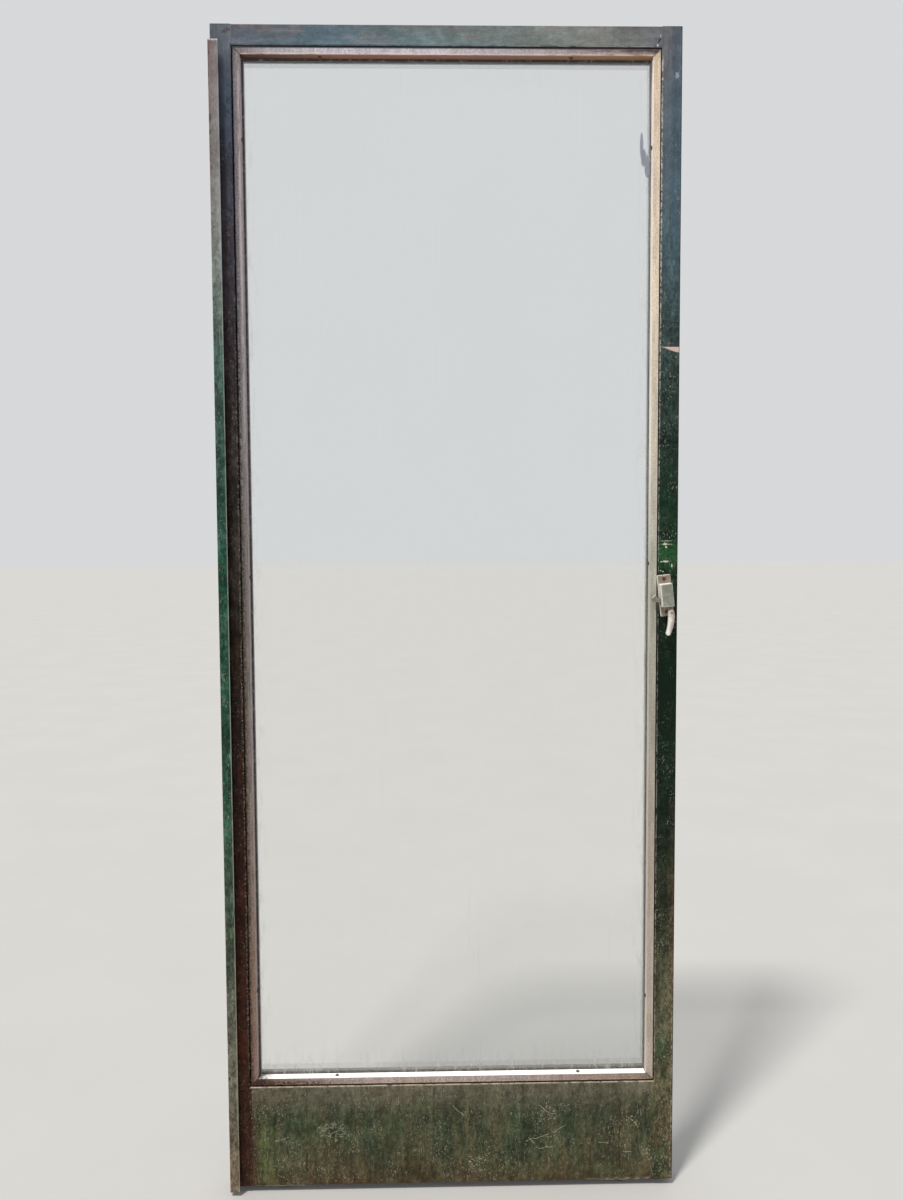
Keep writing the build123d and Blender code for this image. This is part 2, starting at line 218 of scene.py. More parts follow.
def enamel(node, colours, edge, leg, dust, chips, streaks, across, marks, grain=0.4, flecks=0.3, along="z"):
    """Brushed green gloss, its blue top and dark middle partly painted reflection, chipped at its edges and
    dirty low down.
    """

    def strokes(width, length):
        return (length, width, width) if along == "x" else (width, width, length)

    coat = Coat(node + "_enamel", None, 0.45, specular=0.1)
    coat.colour = coat.stops(getattr(coat, along), colours)
    across(coat)
    back_tone = coat.stops(coat.z, (
        (0.0, (74, 64, 46)), (0.25, (58, 62, 46)), (0.8, (34, 52, 38)), (1.4, (42, 62, 54)),
        (2.05, (78, 92, 96))))
    coat.lay("plain back", back_tone, coat.grade(coat.y, leaf_front + 0.004, leaf_front + 0.014))
    front = coat.grade(coat.y, leaf_front + 0.004, leaf_front + 0.001)
    cloud = coat.noise(0.11, 5, 0.62)
    coat.vary(coat.grade(cloud, 0.3, 0.7, 0.74, 1.3))
    coat.vary(coat.patchy(0.3, 0.7, strokes(0.007, 0.16), 4, 0.65, 3, 1 - streaks, 1 + streaks))
    uneven = coat.times(
        coat.patchy(0.38, 0.62, strokes(0.018, 0.04), 5, 0.72, 13, 1 - 0.8 * grain, 1 + 0.9 * grain),
        coat.patchy(0.41, 0.59, strokes(0.005, 0.008), 6, 0.8, 9, 1 - grain, 1 + grain),
        coat.patchy(0.57, 0.64, strokes(0.0045, 0.009), 5, 0.75, 15, 1.0, 1 - 1.2 * grain))
    calm = coat.grade(coat.z, 1.8, 1.45, 0.28, 1.0)
    coat.vary(coat.calc("ADD", 1.0, coat.times(coat.less(uneven, 1.0), calm)))
    coat.lay("flecks", (172, 168, 148), flecks, coat.grade(coat.z, 1.95, 1.8, 0.2, 1.0),
             coat.patchy(0.58, 0.635, strokes(0.0026, 0.0042), 4, 0.78, 17),
             coat.patchy(0.4, 0.6, 0.04, 4, 0.65, 19))
    grime = coat.times(coat.patchy(0.42, 0.68, 0.05, 6, 0.7, 5), coat.grade(coat.z, 0.02, 0.9, 1.0, 0.25))
    coat.lay("grime", (92, 72, 52), dust, grime)
    edge_axis, edge_at, edge_width = edge
    worn_edge = coat.times(front, coat.near(getattr(coat, edge_axis), edge_at, edge_width))
    worn = coat.times(worn_edge, coat.patchy(0.5, 0.62, (0.006, 0.02), 5, 0.75, 7))
    chip = coat.times(
        coat.patchy(0.655, 0.68, 0.0045, 5, 0.72, 2), coat.patchy(0.5, 0.66, 0.09, 2, 0.5, 11),
        coat.grade(worn_edge, 0.0, 1.0, 0.55, 1.0), chips)
    rust_or_steel = coat.over((72, 40, 24), coat.patchy(0.47, 0.56, 0.02, 3, 0.6, 4), (176, 172, 158))
    coat.lay("chips", rust_or_steel, coat.either(coat.times(worn, 0.8), chip))
    unmarked = coat.colour
    marks(coat)
    coat.colour = coat.over(unmarked, front, coat.colour, "front only")
    # Leg face in its own tone: on the stiles, rail and panel the rear leg seen through the glass, in painted
    # shade, lighter on the panel where it faces up to the light.
    leg_axis, leg_at, leg_tone = leg
    coat.lay("leg", leg_tone, coat.near(getattr(coat, leg_axis), leg_at, 0.0016))
    coat.relief(coat.noise(strokes(0.0025, 0.04), 3, 0.6, 6), 0.00015, 0.5)
    coat.relief(coat.noise(0.0012, 3, 0.7, 1), 0.0001, 0.4)
    coat.relief(coat.less(1.0, coat.either(worn, chip)), 0.0002, 0.8)
    rough = coat.grade(cloud, 0.3, 0.7, 0.38, 0.56)
    paint = coat.finish(coat.calc("ADD", rough, coat.times(coat.either(worn, chip, grime), 0.3)))
    wear(node, paint)
    return paint


stile_low, stile_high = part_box("right_stile")
leg_in, leaf_front = stile_low.x, stile_low.y
stile_out, leaf_top = stile_high.x, stile_high.z
stile_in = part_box("top_rail")[1].x
leg_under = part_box("top_rail")[0].z
leg_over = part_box("kick_panel")[1].z
panel_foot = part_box("kick_panel")[0].z
panel_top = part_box("bottom_bead")[0].z - 0.0035
rail_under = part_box("top_bead")[1].z + 0.003


def right_across(coat):
    coat.lay("green", (34, 58, 36), 0.7, coat.grade(coat.z, 0.42, 0.22),
             coat.patchy(0.42, 0.6, (0.03, 0.07), 6, 0.72, 51))
    coat.lay("mauve", (118, 106, 110), 0.5, coat.grade(coat.z, 1.95, 2.03),
             coat.patchy(0.4, 0.65, 0.02, 5, 0.7, 53))
    # Bluer high on the outer half: weathered paint with painted reflection of the sky.
    coat.lay("blue", (54, 76, 90), 0.6, coat.grade(coat.x, 0.372, 0.388), coat.grade(coat.z, 1.55, 1.75))
    coat.lay("dust", (88, 74, 56), 0.7, coat.grade(coat.x, 0.384, 0.395), coat.grade(coat.z, 0.75, 0.5),
             coat.patchy(0.36, 0.6, (0.006, 0.02), 5, 0.75, 73, 0.3, 1.0))


SCRAPES = (
    (0.3775, 1.166, 0.0035, 0.0020), (0.3790, 1.161, 0.0018, 0.0018), (0.3785, 1.1355, 0.0055, 0.0016),
    (0.3705, 1.135, 0.0012, 0.0012), (0.3700, 1.1195, 0.0010, 0.0010), (0.3740, 1.1180, 0.0012, 0.0010),
    (0.3895, 1.128, 0.0012, 0.0035))


def right_marks(coat):
    """Fresh green above the latch, a painted dark reflection below it, scrapes and a bared band,
    painted shade on the outer edge, and a painted highlight among pale specks on the inner edge.
    """
    # Painted reflection of dark surroundings: a darker band round the middle of the height.
    coat.lay("painted dark reflection", (8, 26, 16), 0.8, coat.near(coat.z, 0.91, 0.2))
    wander = coat.times(coat.less(coat.noise(0.006, 4, 0.7), 0.5), 0.004)
    band_foot = coat.calc("ADD", coat.grade(coat.x, 0.366, 0.4, 1.5058, 1.4968), wander)
    coat.lay("bared band", (202, 178, 172), coat.grade(coat.z, 1.5072, 1.5062),
             coat.grade(coat.less(coat.z, band_foot), 0.0, 0.0008))
    coat.lay("fresh green", (44, 92, 54), 0.8, coat.near(coat.z, 1.147, 0.034),
             coat.patchy(0.3, 0.6, 0.006, 4, 0.7, 5))
    coat.lay("scored lines", (186, 186, 160),
             coat.either(coat.near(coat.z, 1.1715, 0.0011), coat.near(coat.z, 1.1655, 0.0014)),
             coat.near(coat.x, 0.3785, 0.0165), coat.patchy(0.36, 0.46, (0.006, 0.003), 4, 0.75, 3))
    for place in SCRAPES:
        coat.lay("scrape", (196, 198, 174), coat.spot(*place, 0.6))
    coat.lay("chip", (160, 168, 184), 0.7, coat.spot(0.3915, 1.962, 0.0035, 0.0055, 1.0))
    coat.lay("specks", (24, 28, 26), coat.patchy(0.66, 0.7, (0.003, 0.006), 3, 0.7, 8),
             coat.near(coat.z, 1.69, 0.12), coat.near(coat.x, 0.385, 0.008))
    # Painted shade on the rounded outer edge, which turns away from the light.
    coat.lay("painted edge shade", (14, 10, 14), 0.85, coat.near(coat.x, stile_out, 0.0026))
    coat.lay("crumbly edge", (178, 172, 156), 0.6, coat.near(coat.x, stile_out - 0.003, 0.003),
             coat.grade(coat.z, 0.5, 0.2), coat.patchy(0.5, 0.58, (0.003, 0.006), 4, 0.75, 55))
    # Painted highlight on the rounded inner edge, which faces the light, broken up with pale specks.
    lip_reach = coat.grade(coat.z, 1.2, 1.6, 0.0018, 0.0030)
    coat.lay("pale lip", (202, 194, 190), 0.9, coat.near(coat.x, stile_in + 0.0006, lip_reach),
             coat.grade(coat.z, 1.0, 1.9, 0.35, 1.0), coat.grade(coat.z, 1.996, 1.99),
             coat.grade(coat.z, 0.205, 0.22), coat.patchy(0.46, 0.54, (0.003, 0.007), 4, 0.75, 57))


def left_shadow(coat):
    """Painted shadow of the interlock strip, with dirt, that fills the channel beside it and thins out
    towards the glass.
    """
    coat.lay("ridge", (90, 70, 64), 0.3, coat.near(coat.x, -stile_out + 0.018, 0.005),
             coat.grade(coat.z, 1.75, 1.5))
    # Painted shade with dirt: near black mid-height, darkest beside the strip and fading towards the glass.
    dirt = coat.stops(coat.z, (
        (0.0, (50, 20, 10)), (0.35, (56, 22, 12)), (0.6, (46, 22, 15)), (0.9, (12, 5, 1)),
        (1.15, (14, 8, 4)), (1.4, (34, 22, 22)), (1.7, (52, 40, 46)), (1.92, (46, 50, 62)),
        (2.05, (104, 106, 116))))
    depth = coat.times(coat.grade(coat.x, -stile_out + 0.010, -stile_in + 0.001, 0.95, 0.15),
                       coat.grade(coat.z, 1.985, 2.02, 1.0, 0.1))
    coat.lay("dirt", dirt, depth, coat.patchy(0.36, 0.6, (0.012, 0.05), 5, 0.7, 12, 0.55, 1.15))


def left_marks(coat):
    for x, z, wide in ((-0.3754, 2.0305, 0.0040), (-0.3690, 2.0335, 0.0034), (-0.3995, 2.028, 0.0024)):
        coat.lay("blot", (58, 42, 52), 0.6, coat.spot(x, z, wide, 0.0030, 0.9))
    coat.lay("rim", (84, 64, 76), 0.6, coat.near(coat.z, leaf_top, 0.004),
             coat.patchy(0.4, 0.6, 0.006, 5, 0.7, 9))
    coat.lay("pits", (20, 22, 24), 0.7, coat.patchy(0.52, 0.6, (0.007, 0.012), 5, 0.75, 61),
             coat.near(coat.x, -stile_in - 0.006, 0.009), coat.grade(coat.z, 2.01, 1.96))
    coat.lay("dust", (170, 160, 146), 0.8, coat.patchy(0.53, 0.6, 0.0030, 4, 0.75, 3),
             coat.grade(coat.z, 1.75, 1.2), coat.grade(coat.z, 0.2, 0.3),
             coat.near(coat.x, -stile_in, 0.004))


def rail_across(coat):
    coat.lay("stain", (124, 110, 106), 0.4, coat.patchy(0.48, 0.66, (0.07, 0.05, 0.02), 5, 0.65, 14))
    coat.lay("head", (104, 84, 92), 0.5, coat.near(coat.z, leaf_top, 0.009),
             coat.patchy(0.4, 0.62, (0.03, 0.006), 5, 0.7, 16))
    coat.lay("blue foot", (96, 122, 138), 0.35, coat.near(coat.z, rail_under, 0.012),
             coat.grade(coat.x, 0.2, 0.0))


def rail_marks(coat):
    """A crack beside the right-hand weld with a pale flake at its head, and the pale lower lip."""
    coat.lay("crack", (10, 8, 10), coat.stroke(0.3565, 2.008, 0.3634, 2.0275, 0.0017, 0.42))
    for x, z in ((0.3632, 2.0265), (0.3575, 2.0105)):
        coat.lay("flake", (186, 188, 188), coat.spot(x, z, 0.0016, 0.0032, 0.4))
    coat.lay("pale lip", (196, 196, 198), 0.8, coat.near(coat.z, rail_under + 0.0004, 0.0012),
             coat.grade(coat.x, -0.2, 0.3, 0.25, 1.0),
             coat.patchy(0.42, 0.52, (0.02, 0.004, 0.004), 4, 0.7, 65))


def panel_across(coat):
    coat.lay("green", (48, 62, 44), 0.75, coat.patchy(0.38, 0.6, (0.03, 0.13), 4, 0.55, 21),
             coat.grade(coat.z, 0.185, 0.13), coat.grade(coat.z, 0.0, 0.08, 0.3, 1.0))
    coat.lay("dark runs", (46, 44, 30), 0.4, coat.patchy(0.5, 0.64, (0.02, 0.09), 5, 0.7, 23))
    coat.lay("moss", (88, 98, 52), 0.55, coat.near(coat.x, -stile_in + 0.028, 0.03),
             coat.grade(coat.z, 0.17, 0.11), coat.patchy(0.36, 0.6, (0.008, 0.1), 5, 0.7, 25))
    coat.lay("brown ends", (74, 48, 36), coat.near(coat.calc("ABSOLUTE", coat.x), stile_in, 0.02),
             coat.patchy(0.3, 0.55, (0.006, 0.05), 5, 0.7, 27), coat.grade(coat.x, 0.1, 0.0, 0.2, 0.85))


SCRATCHES = (
    (0.1303, 0.0827, 0.1805, 0.0989), (0.179, 0.0973, 0.2067, 0.1139), (0.1468, 0.0708, 0.1805, 0.0709),
    (0.1378, 0.0919, 0.1483, 0.0777), (0.2631, 0.0787, 0.2841, 0.0776), (-0.0024, 0.1532, 0.0213, 0.1342),
    (0.1542, 0.152, 0.1804, 0.133), (-0.3225, 0.091, -0.2964, 0.0982))
DRIPS = (
    (0.3016, 0.1676, 0.3067, 0.1090), (0.3067, 0.1130, 0.3012, 0.0850), (0.3012, 0.0890, 0.3028, 0.0316),
    (-0.2664, 0.0707, -0.2640, 0.0319))
CHIPPED = ((0.1728, 0.1322, 0.016), (0.326, 0.1163, 0.012), (0.3502, 0.0629, 0.010), (0.0452, 0.0402, 0.018))


def panel_marks(coat):
    """Pale scratches, dark drips, a dusty film high up and a rusty line low down."""
    scratch = coat.times(coat.patchy(0.62, 0.68, (0.0014, 0.022), 4, 0.7, 31),
                         coat.patchy(0.46, 0.6, (0.03, 0.04), 3, 0.6, 33))
    curl = coat.times(coat.near(coat.noise((0.03, 0.02), 3, 0.55, 34), 0.5, 0.009),
                      coat.patchy(0.53, 0.6, 0.015, 5, 0.75, 36, 0.0, 0.7))
    tangle = coat.times(coat.near(coat.noise(0.01, 3, 0.6, 38), 0.5, 0.03),
                        coat.spot(-0.2175, 0.1085, 0.026, 0.018, 0.5))
    coat.lay("fine scratches", (168, 168, 146), 0.7, coat.either(scratch, curl, tangle))
    for ends in SCRATCHES:
        coat.lay("scratch", (170, 168, 148), 0.75, coat.stroke(*ends, 0.0011))
    chipped = coat.either(*[coat.spot(x, z, reach, reach, 0.5) for x, z, reach in CHIPPED])
    coat.lay("chipped", (186, 184, 162), 0.85, chipped, coat.patchy(0.57, 0.61, 0.0032, 4, 0.8, 69))
    coat.lay("fresh green", (62, 88, 50), 0.5, coat.spot(0.2826, 0.0262, 0.024, 0.010, 1.0),
             coat.patchy(0.4, 0.6, (0.005, 0.02), 5, 0.75, 71))
    coat.lay("drips", (44, 30, 22), 0.8, coat.either(*[coat.stroke(*ends, 0.0024, 0.40) for ends in DRIPS]))
    coat.lay("film", (116, 108, 94), 0.38, coat.grade(coat.z, 0.13, 0.185),
             coat.patchy(0.36, 0.62, 0.02, 6, 0.75, 35))
    coat.lay("rusty foot", (60, 40, 28), 0.6, coat.grade(coat.z, 0.035, 0.01),
             coat.patchy(0.44, 0.62, 0.012, 5, 0.7, 37))
    # Painted highlight on the panel's top edge, which faces up to the light.
    coat.lay("pale lip", (184, 166, 146), 0.85, coat.near(coat.z, panel_top, 0.0028),
             coat.patchy(0.4, 0.54, (0.012, 0.006, 0.006), 5, 0.78, 39))
    coat.lay("crust", (172, 156, 134), 0.85, coat.near(coat.z, panel_foot, 0.006),
             coat.grade(coat.x, 0.2, 0.3), coat.patchy(0.46, 0.56, (0.008, 0.004, 0.004), 5, 0.78, 67))
    coat.lay("hair scratch", (170, 160, 146), coat.near(coat.z, 0.0605, 0.0009),
             coat.near(coat.x, 0.318, 0.012))


# Colours along each part: the slate blue high up and the dark green mid-height are partly painted reflection
# of the sky and of dark surroundings.
right_paint = enamel(
    "right_stile",
    ((0.0, (76, 64, 42)), (0.3, (80, 80, 61)), (0.5, (40, 46, 33)), (0.7, (20, 36, 24)),
     (0.9, (10, 30, 20)), (1.14, (16, 46, 30)), (1.3, (22, 44, 34)), (1.5, (48, 63, 61)),
     (1.7, (70, 88, 94)), (1.9, (88, 98, 107)), (2.05, (120, 122, 128))),
    ("x", stile_in, 0.0012), ("x", leg_in, (66, 80, 74)), dust=0.2, chips=0.6, streaks=0.14, flecks=0.7,
    across=right_across, marks=right_marks)
left_paint = enamel(
    "left_stile",
    ((0.0, (60, 38, 26)), (0.35, (44, 20, 10)), (0.7, (36, 18, 11)), (0.95, (46, 32, 23)),
     (1.2, (62, 56, 52)), (1.45, (42, 39, 42)), (1.7, (50, 50, 60)), (1.92, (64, 76, 92)),
     (2.05, (106, 112, 122))),
    ("x", -stile_in, 0.0012), ("x", -leg_in, (54, 32, 36)), dust=0.15, chips=0.6, streaks=0.16,
    across=left_shadow, marks=left_marks)
enamel(
    "top_rail",
    ((-0.365, (88, 94, 105)), (-0.2, (80, 98, 109)), (-0.05, (97, 110, 113)), (0.12, (114, 124, 122)),
     (0.25, (112, 114, 111)), (0.32, (112, 115, 115)), (0.365, (108, 112, 118))),
    ("z", rail_under, 0.0010), ("z", leg_under, (50, 42, 52)), dust=0.1, chips=0.4, streaks=0.09,
    grain=0.45, flecks=0.15, along="x", across=rail_across, marks=rail_marks)
enamel(
    "kick_panel",
    ((0.0, (78, 66, 46)), (0.06, (74, 70, 50)), (0.13, (70, 70, 52)), (0.2, (88, 86, 70)),
     (2.05, (88, 86, 70))),
    ("z", panel_foot, 0.003), ("z", leg_over, (100, 100, 90)), dust=0.1, chips=0.7, streaks=0.18,
    grain=0.32, flecks=0.75, across=panel_across, marks=panel_marks)

# Welds: where rail and panel meet the stiles the joint is closed by a short run of weld,
# dressed flat with a disc and painted over, so that only a low wavy ridge still shows.


def placed(name, data):
    """Object at the origin, in the scene."""
    made = bpy.data.objects.new(name, data)
    bpy.context.scene.collection.objects.link(made)
    return made


def plain_mesh(name, points, edges=(), faces=()):
    mesh = bpy.data.meshes.new(name)
    mesh.from_pydata(points, edges, faces)
    return mesh


class Tree(Wiring):
    """Geometry Nodes tree with named inputs, run once on a carrier mesh."""

    prefix = "GeometryNode"

    def __init__(self, name, **inputs):
        super().__init__(bpy.data.node_groups.new(name, "GeometryNodeTree"))
        face = self.tree.interface
        face.new_socket("Carrier", in_out="INPUT", socket_type="NodeSocketGeometry")
        kinds = {float: "NodeSocketFloat", int: "NodeSocketInt", bpy.types.Material: "NodeSocketMaterial"}
        self.inputs = inputs
        self.sockets = {
            label: face.new_socket(label, in_out="INPUT", socket_type=kinds[type(value)])
            for label, value in inputs.items()}
        face.new_socket("Made", in_out="OUTPUT", socket_type="NodeSocketGeometry")
        self.given = self.tree.nodes.new("NodeGroupInput").outputs

    def vector(self, x=0.0, y=0.0, z=0.0):
        return self.made("ShaderNodeCombineXYZ", (x, y, z), {})

    def parts_of_place(self):
        return self.made("ShaderNodeSeparateXYZ", (self.add("InputPosition"),), {}).outputs

    def function(self, kind, *inputs, **settings):
        return self.made("FunctionNode" + kind, inputs, settings)

    def moved(self, geometry, *offset):
        return self.add("Transform", geometry, self.vector(*offset))

    def joined(self, *shapes):
        node = self.add("JoinGeometry")
        for shape in shapes:
            self.plug(node.inputs[0], shape)
        return node

    def end(self, geometry):
        """Closes the tree: instances made real, in the finish that the tree was given."""
        painted = self.add("SetMaterial", self.add("RealizeInstances", geometry), None, self.given["Finish"])
        self.plug(self.tree.nodes.new("NodeGroupOutput").inputs[0], painted)

    def run(self, name, carrier, **changes):
        """Runs the tree on a mesh and keeps the result as a plain object."""
        source = placed(name + "_carrier", carrier)
        modifier = source.modifiers.new(name, "NODES")
        modifier.node_group = self.tree
        for label, value in {**self.inputs, **changes}.items():
            modifier[self.sockets[label].identifier] = value
        graph = bpy.context.evaluated_depsgraph_get()
        piece = placed(name, bpy.data.meshes.new_from_object(source.evaluated_get(graph)))
        bpy.data.objects.remove(source)
        return piece


def weld_tree():
    """Tree that lays a low ridge with ripples along each edge of its carrier."""
    tree = Tree("weld", Width=0.0042, Height=0.0003, Ripple=0.0019, Seed=4, Finish=right_paint)
    carrier, width, height, ripple, seed = tree.given[:5]
    line = tree.add("ResampleCurve", tree.add("MeshToCurve", carrier), None, 10, 0.0009, mode="LENGTH")
    ring = tree.add("CurvePrimitiveCircle", 12, None, None, None, 0.5, mode="RADIUS")
    ring = tree.add("Transform", ring, None, None, tree.vector(width, tree.times(height, 2.0), 1.0))
    ridge = tree.add("CurveToMesh", line, ring, 1.0)
    ridge.inputs["Fill Caps"].default_value = True
    up = tree.parts_of_place()[2]
    wave = tree.calc("SINE", tree.calc("DIVIDE", tree.times(up, 6.283), ripple))
    waver = tree.function("RandomValue", tree.vector(-0.00022, -0.00006, 0.0),
                          tree.vector(0.00022, 0.00006, 0.0), data_type="FLOAT_VECTOR")
    tree.plug(waver.inputs["Seed"], seed)
    ridge = tree.add("SetPosition", ridge, None, None, tree.vector(0.0, tree.times(wave, 0.00009), 0.0))
    ridge = tree.add("SetPosition", ridge, None, None, waver)
    tree.end(tree.add("SetShadeSmooth", ridge))
    return tree


inset = 0.002
weld_ends = (panel_foot + inset, panel_top - inset, rail_under + inset, leaf_top - inset)
weld_ridge = weld_tree()
for name, joint, paint in (("left_welds", -stile_in, left_paint), ("right_welds", stile_in, right_paint)):
    lines = plain_mesh("lines", [(joint, leaf_front, end) for end in weld_ends], [(0, 1), (2, 3)])
    welds = weld_ridge.run(name, lines, Finish=paint)
    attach(welds, "leaf")

# Interlock strip: a folded steel angle on the hidden stile, whose flange stands in front of
# the frame so that the second leaf hooks behind it. Its web is welded to the stile, and the
# rubbing of that leaf has taken the paint off its free edge.
strip_low, strip_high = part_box("interlock_strip")


def strip_across(coat):
    coat.lay("brown side", (108, 84, 72), 0.4, coat.grade(coat.x, strip_low.x + 0.012, strip_low.x + 0.002),
             coat.grade(coat.z, 1.5, 1.8))
    coat.lay("fresh green", (80, 112, 96), 0.3, coat.near(coat.z, 1.0, 0.5),
             coat.patchy(0.5, 0.6, (0.03, 0.09), 4, 0.62, 71))


def strip_marks(coat):
    bright = coat.stops(coat.z, ((0.0, (150, 140, 118)), (1.0, (150, 160, 150)), (2.05, (150, 146, 150))))
    coat.lay("rim", bright, 0.8, coat.near(coat.x, strip_high.x, 0.0022),
             coat.patchy(0.32, 0.5, (0.004, 0.03), 4, 0.7, 41))
    # Painted highlight along the top end of the strip.
    coat.lay("head", (196, 190, 186), coat.grade(coat.z, strip_high.z - 0.004, strip_high.z - 0.001),
             coat.patchy(0.3, 0.5, 0.004, 3, 0.7, 43))
    coat.lay("rubbed", (134, 150, 138), 0.75, coat.patchy(0.53, 0.64, (0.004, 0.03), 5, 0.7, 45),
             coat.patchy(0.42, 0.56, (0.05, 0.15), 3, 0.6, 47),
             coat.grade(coat.x, strip_low.x + 0.004, strip_high.x))
    coat.lay("pits", (22, 26, 24), 0.75, coat.patchy(0.55, 0.62, (0.006, 0.012), 5, 0.75, 49),
             coat.grade(coat.x, strip_low.x + 0.011, strip_low.x))


enamel(
    "interlock_strip",
    ((0.0, (108, 90, 74)), (0.15, (104, 98, 82)), (0.3, (94, 96, 84)), (0.5, (60, 76, 61)),
     (0.75, (24, 58, 42)), (1.1, (24, 62, 48)), (1.3, (46, 74, 65)), (1.5, (62, 84, 77)),
     (1.7, (124, 128, 127)), (2.05, (116, 102, 106))),
    ("x", strip_low.x, 0.001), ("y", strip_high.y, (70, 74, 68)), dust=0.15, chips=0.15, streaks=0.2,
    flecks=0.6, across=strip_across, marks=strip_marks)

# Glass and its bed: one 4 mm pane on two rubber blocks, pressed against a ring of linseed
# putty. It carries dust, rain marks near its edges and a grey-blue smear, and beside the beads
# a dark line of painted shade and reflection of the beads, with some old mastic.
pane_low, pane_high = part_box("glass_pane")
left_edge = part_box("left_bead")[1].x
right_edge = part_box("right_bead")[0].x
top_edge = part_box("top_bead")[0].z
pane = Coat("window_glass", (236, 240, 238), 0.02)
pane.put("IOR", 1.5)
film = pane.patchy(0.35, 0.8, 0.22, 6, 0.68, 0, 0.0, 0.12)
rim = pane.either(
    pane.near(pane.x, pane_low.x, 0.05), pane.near(pane.x, pane_high.x, 0.05),
    pane.near(pane.z, pane_low.z, 0.09))
soil = pane.times(rim, pane.patchy(0.42, 0.7, (0.012, 0.05), 6, 0.7, 3, 0.0, 0.35))
rain = pane.times(
    pane.patchy(0.62, 0.7, (0.0022, 0.3), 3, 0.6, 5, 0.0, 0.16),
    pane.patchy(0.5, 0.64, (0.05, 0.3), 2, 0.5, 7))
smear = pane.times(pane.either(
    pane.spot(0.3345, 1.853, 0.0028, 0.022, 0.25), pane.spot(0.3385, 1.832, 0.0045, 0.015, 0.25),
    pane.spot(0.3448, 1.818, 0.0045, 0.019, 0.25)), 0.75)
dark_run = pane.times(
    pane.near(pane.x, 0.3475, 0.0016),
    pane.either(pane.near(pane.z, 1.075, 0.028), pane.near(pane.z, 0.95, 0.07)),
    pane.patchy(0.4, 0.5, (0.004, 0.02), 4, 0.7, 15), 0.85)
# Painted shade and reflection of the beads along the pane's edges, with some old mastic.
bead_shade_and_mastic = pane.times(
    pane.either(
        pane.grade(pane.x, left_edge + 0.0048, left_edge + 0.0024),
        pane.grade(pane.z, top_edge - 0.0062, top_edge - 0.0036),
        pane.grade(pane.x, right_edge - 0.0028, right_edge - 0.0008)),
    pane.patchy(0.3, 0.5, 0.008, 4, 0.7, 9, 0.75, 0.95))
pane.lay("soil", (148, 136, 120), soil)
pane.lay("smear", (98, 106, 134), smear)
pane.lay("dark run", (34, 24, 22), dark_run)
pane.lay("bead_shade_and_mastic", (30, 18, 22), bead_shade_and_mastic)
covered = pane.either(film, soil, rain, smear, dark_run, bead_shade_and_mastic)
pane.put("Transmission Weight", pane.less(1.0, covered))
pane.put("Alpha", pane.grade(covered, 0.0, 0.6, 0.3, 1.0))
pane.relief(pane.noise(0.35, 2, 0.4, 1), 0.0004, 0.2)
wear("glass_pane", pane.finish(pane.grade(covered, 0.0, 0.5, 0.02, 0.6)))

putty = Coat("linseed_putty", (58, 30, 28), 0.85)
crack = putty.patchy(0.58, 0.66, (0.004, 0.01), 5, 0.75)
putty.lay("crust", (78, 50, 40), putty.patchy(0.35, 0.7, 0.03, 5, 0.7, 2))
putty.lay("cracks", (30, 18, 16), crack)
putty.relief(putty.less(1.0, crack), 0.0005, 0.8)
putty.relief(putty.noise(0.003, 4, 0.7, 4), 0.0003, 0.6)
wear("glazing_putty", putty.finish())

rubber = Coat("setting_rubber", (34, 33, 32), 0.75)
rubber.lay("scale", (70, 64, 58), rubber.patchy(0.4, 0.7, 0.006, 5, 0.7))
rubber.relief(rubber.noise(0.002, 3, 0.7, 2), 0.0002, 0.5)
wear("setting_blocks", rubber.finish())

# Beads: hollow bars of drawn aluminium, mitred at the corners and screwed into the frame
# through their glass side. Their sheen has gone chalky, and grime lies thickest low down
# and on the hidden side.
bottom_low, bottom_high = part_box("bottom_bead")
top_low, top_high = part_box("top_bead")
bead_in, bead_out = (corner.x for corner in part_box("right_bead"))
bead_mid = (bottom_low.z + top_high.z) / 2
bead_half = (top_high.z - bottom_low.z) / 2
bead_skin = 0.0011


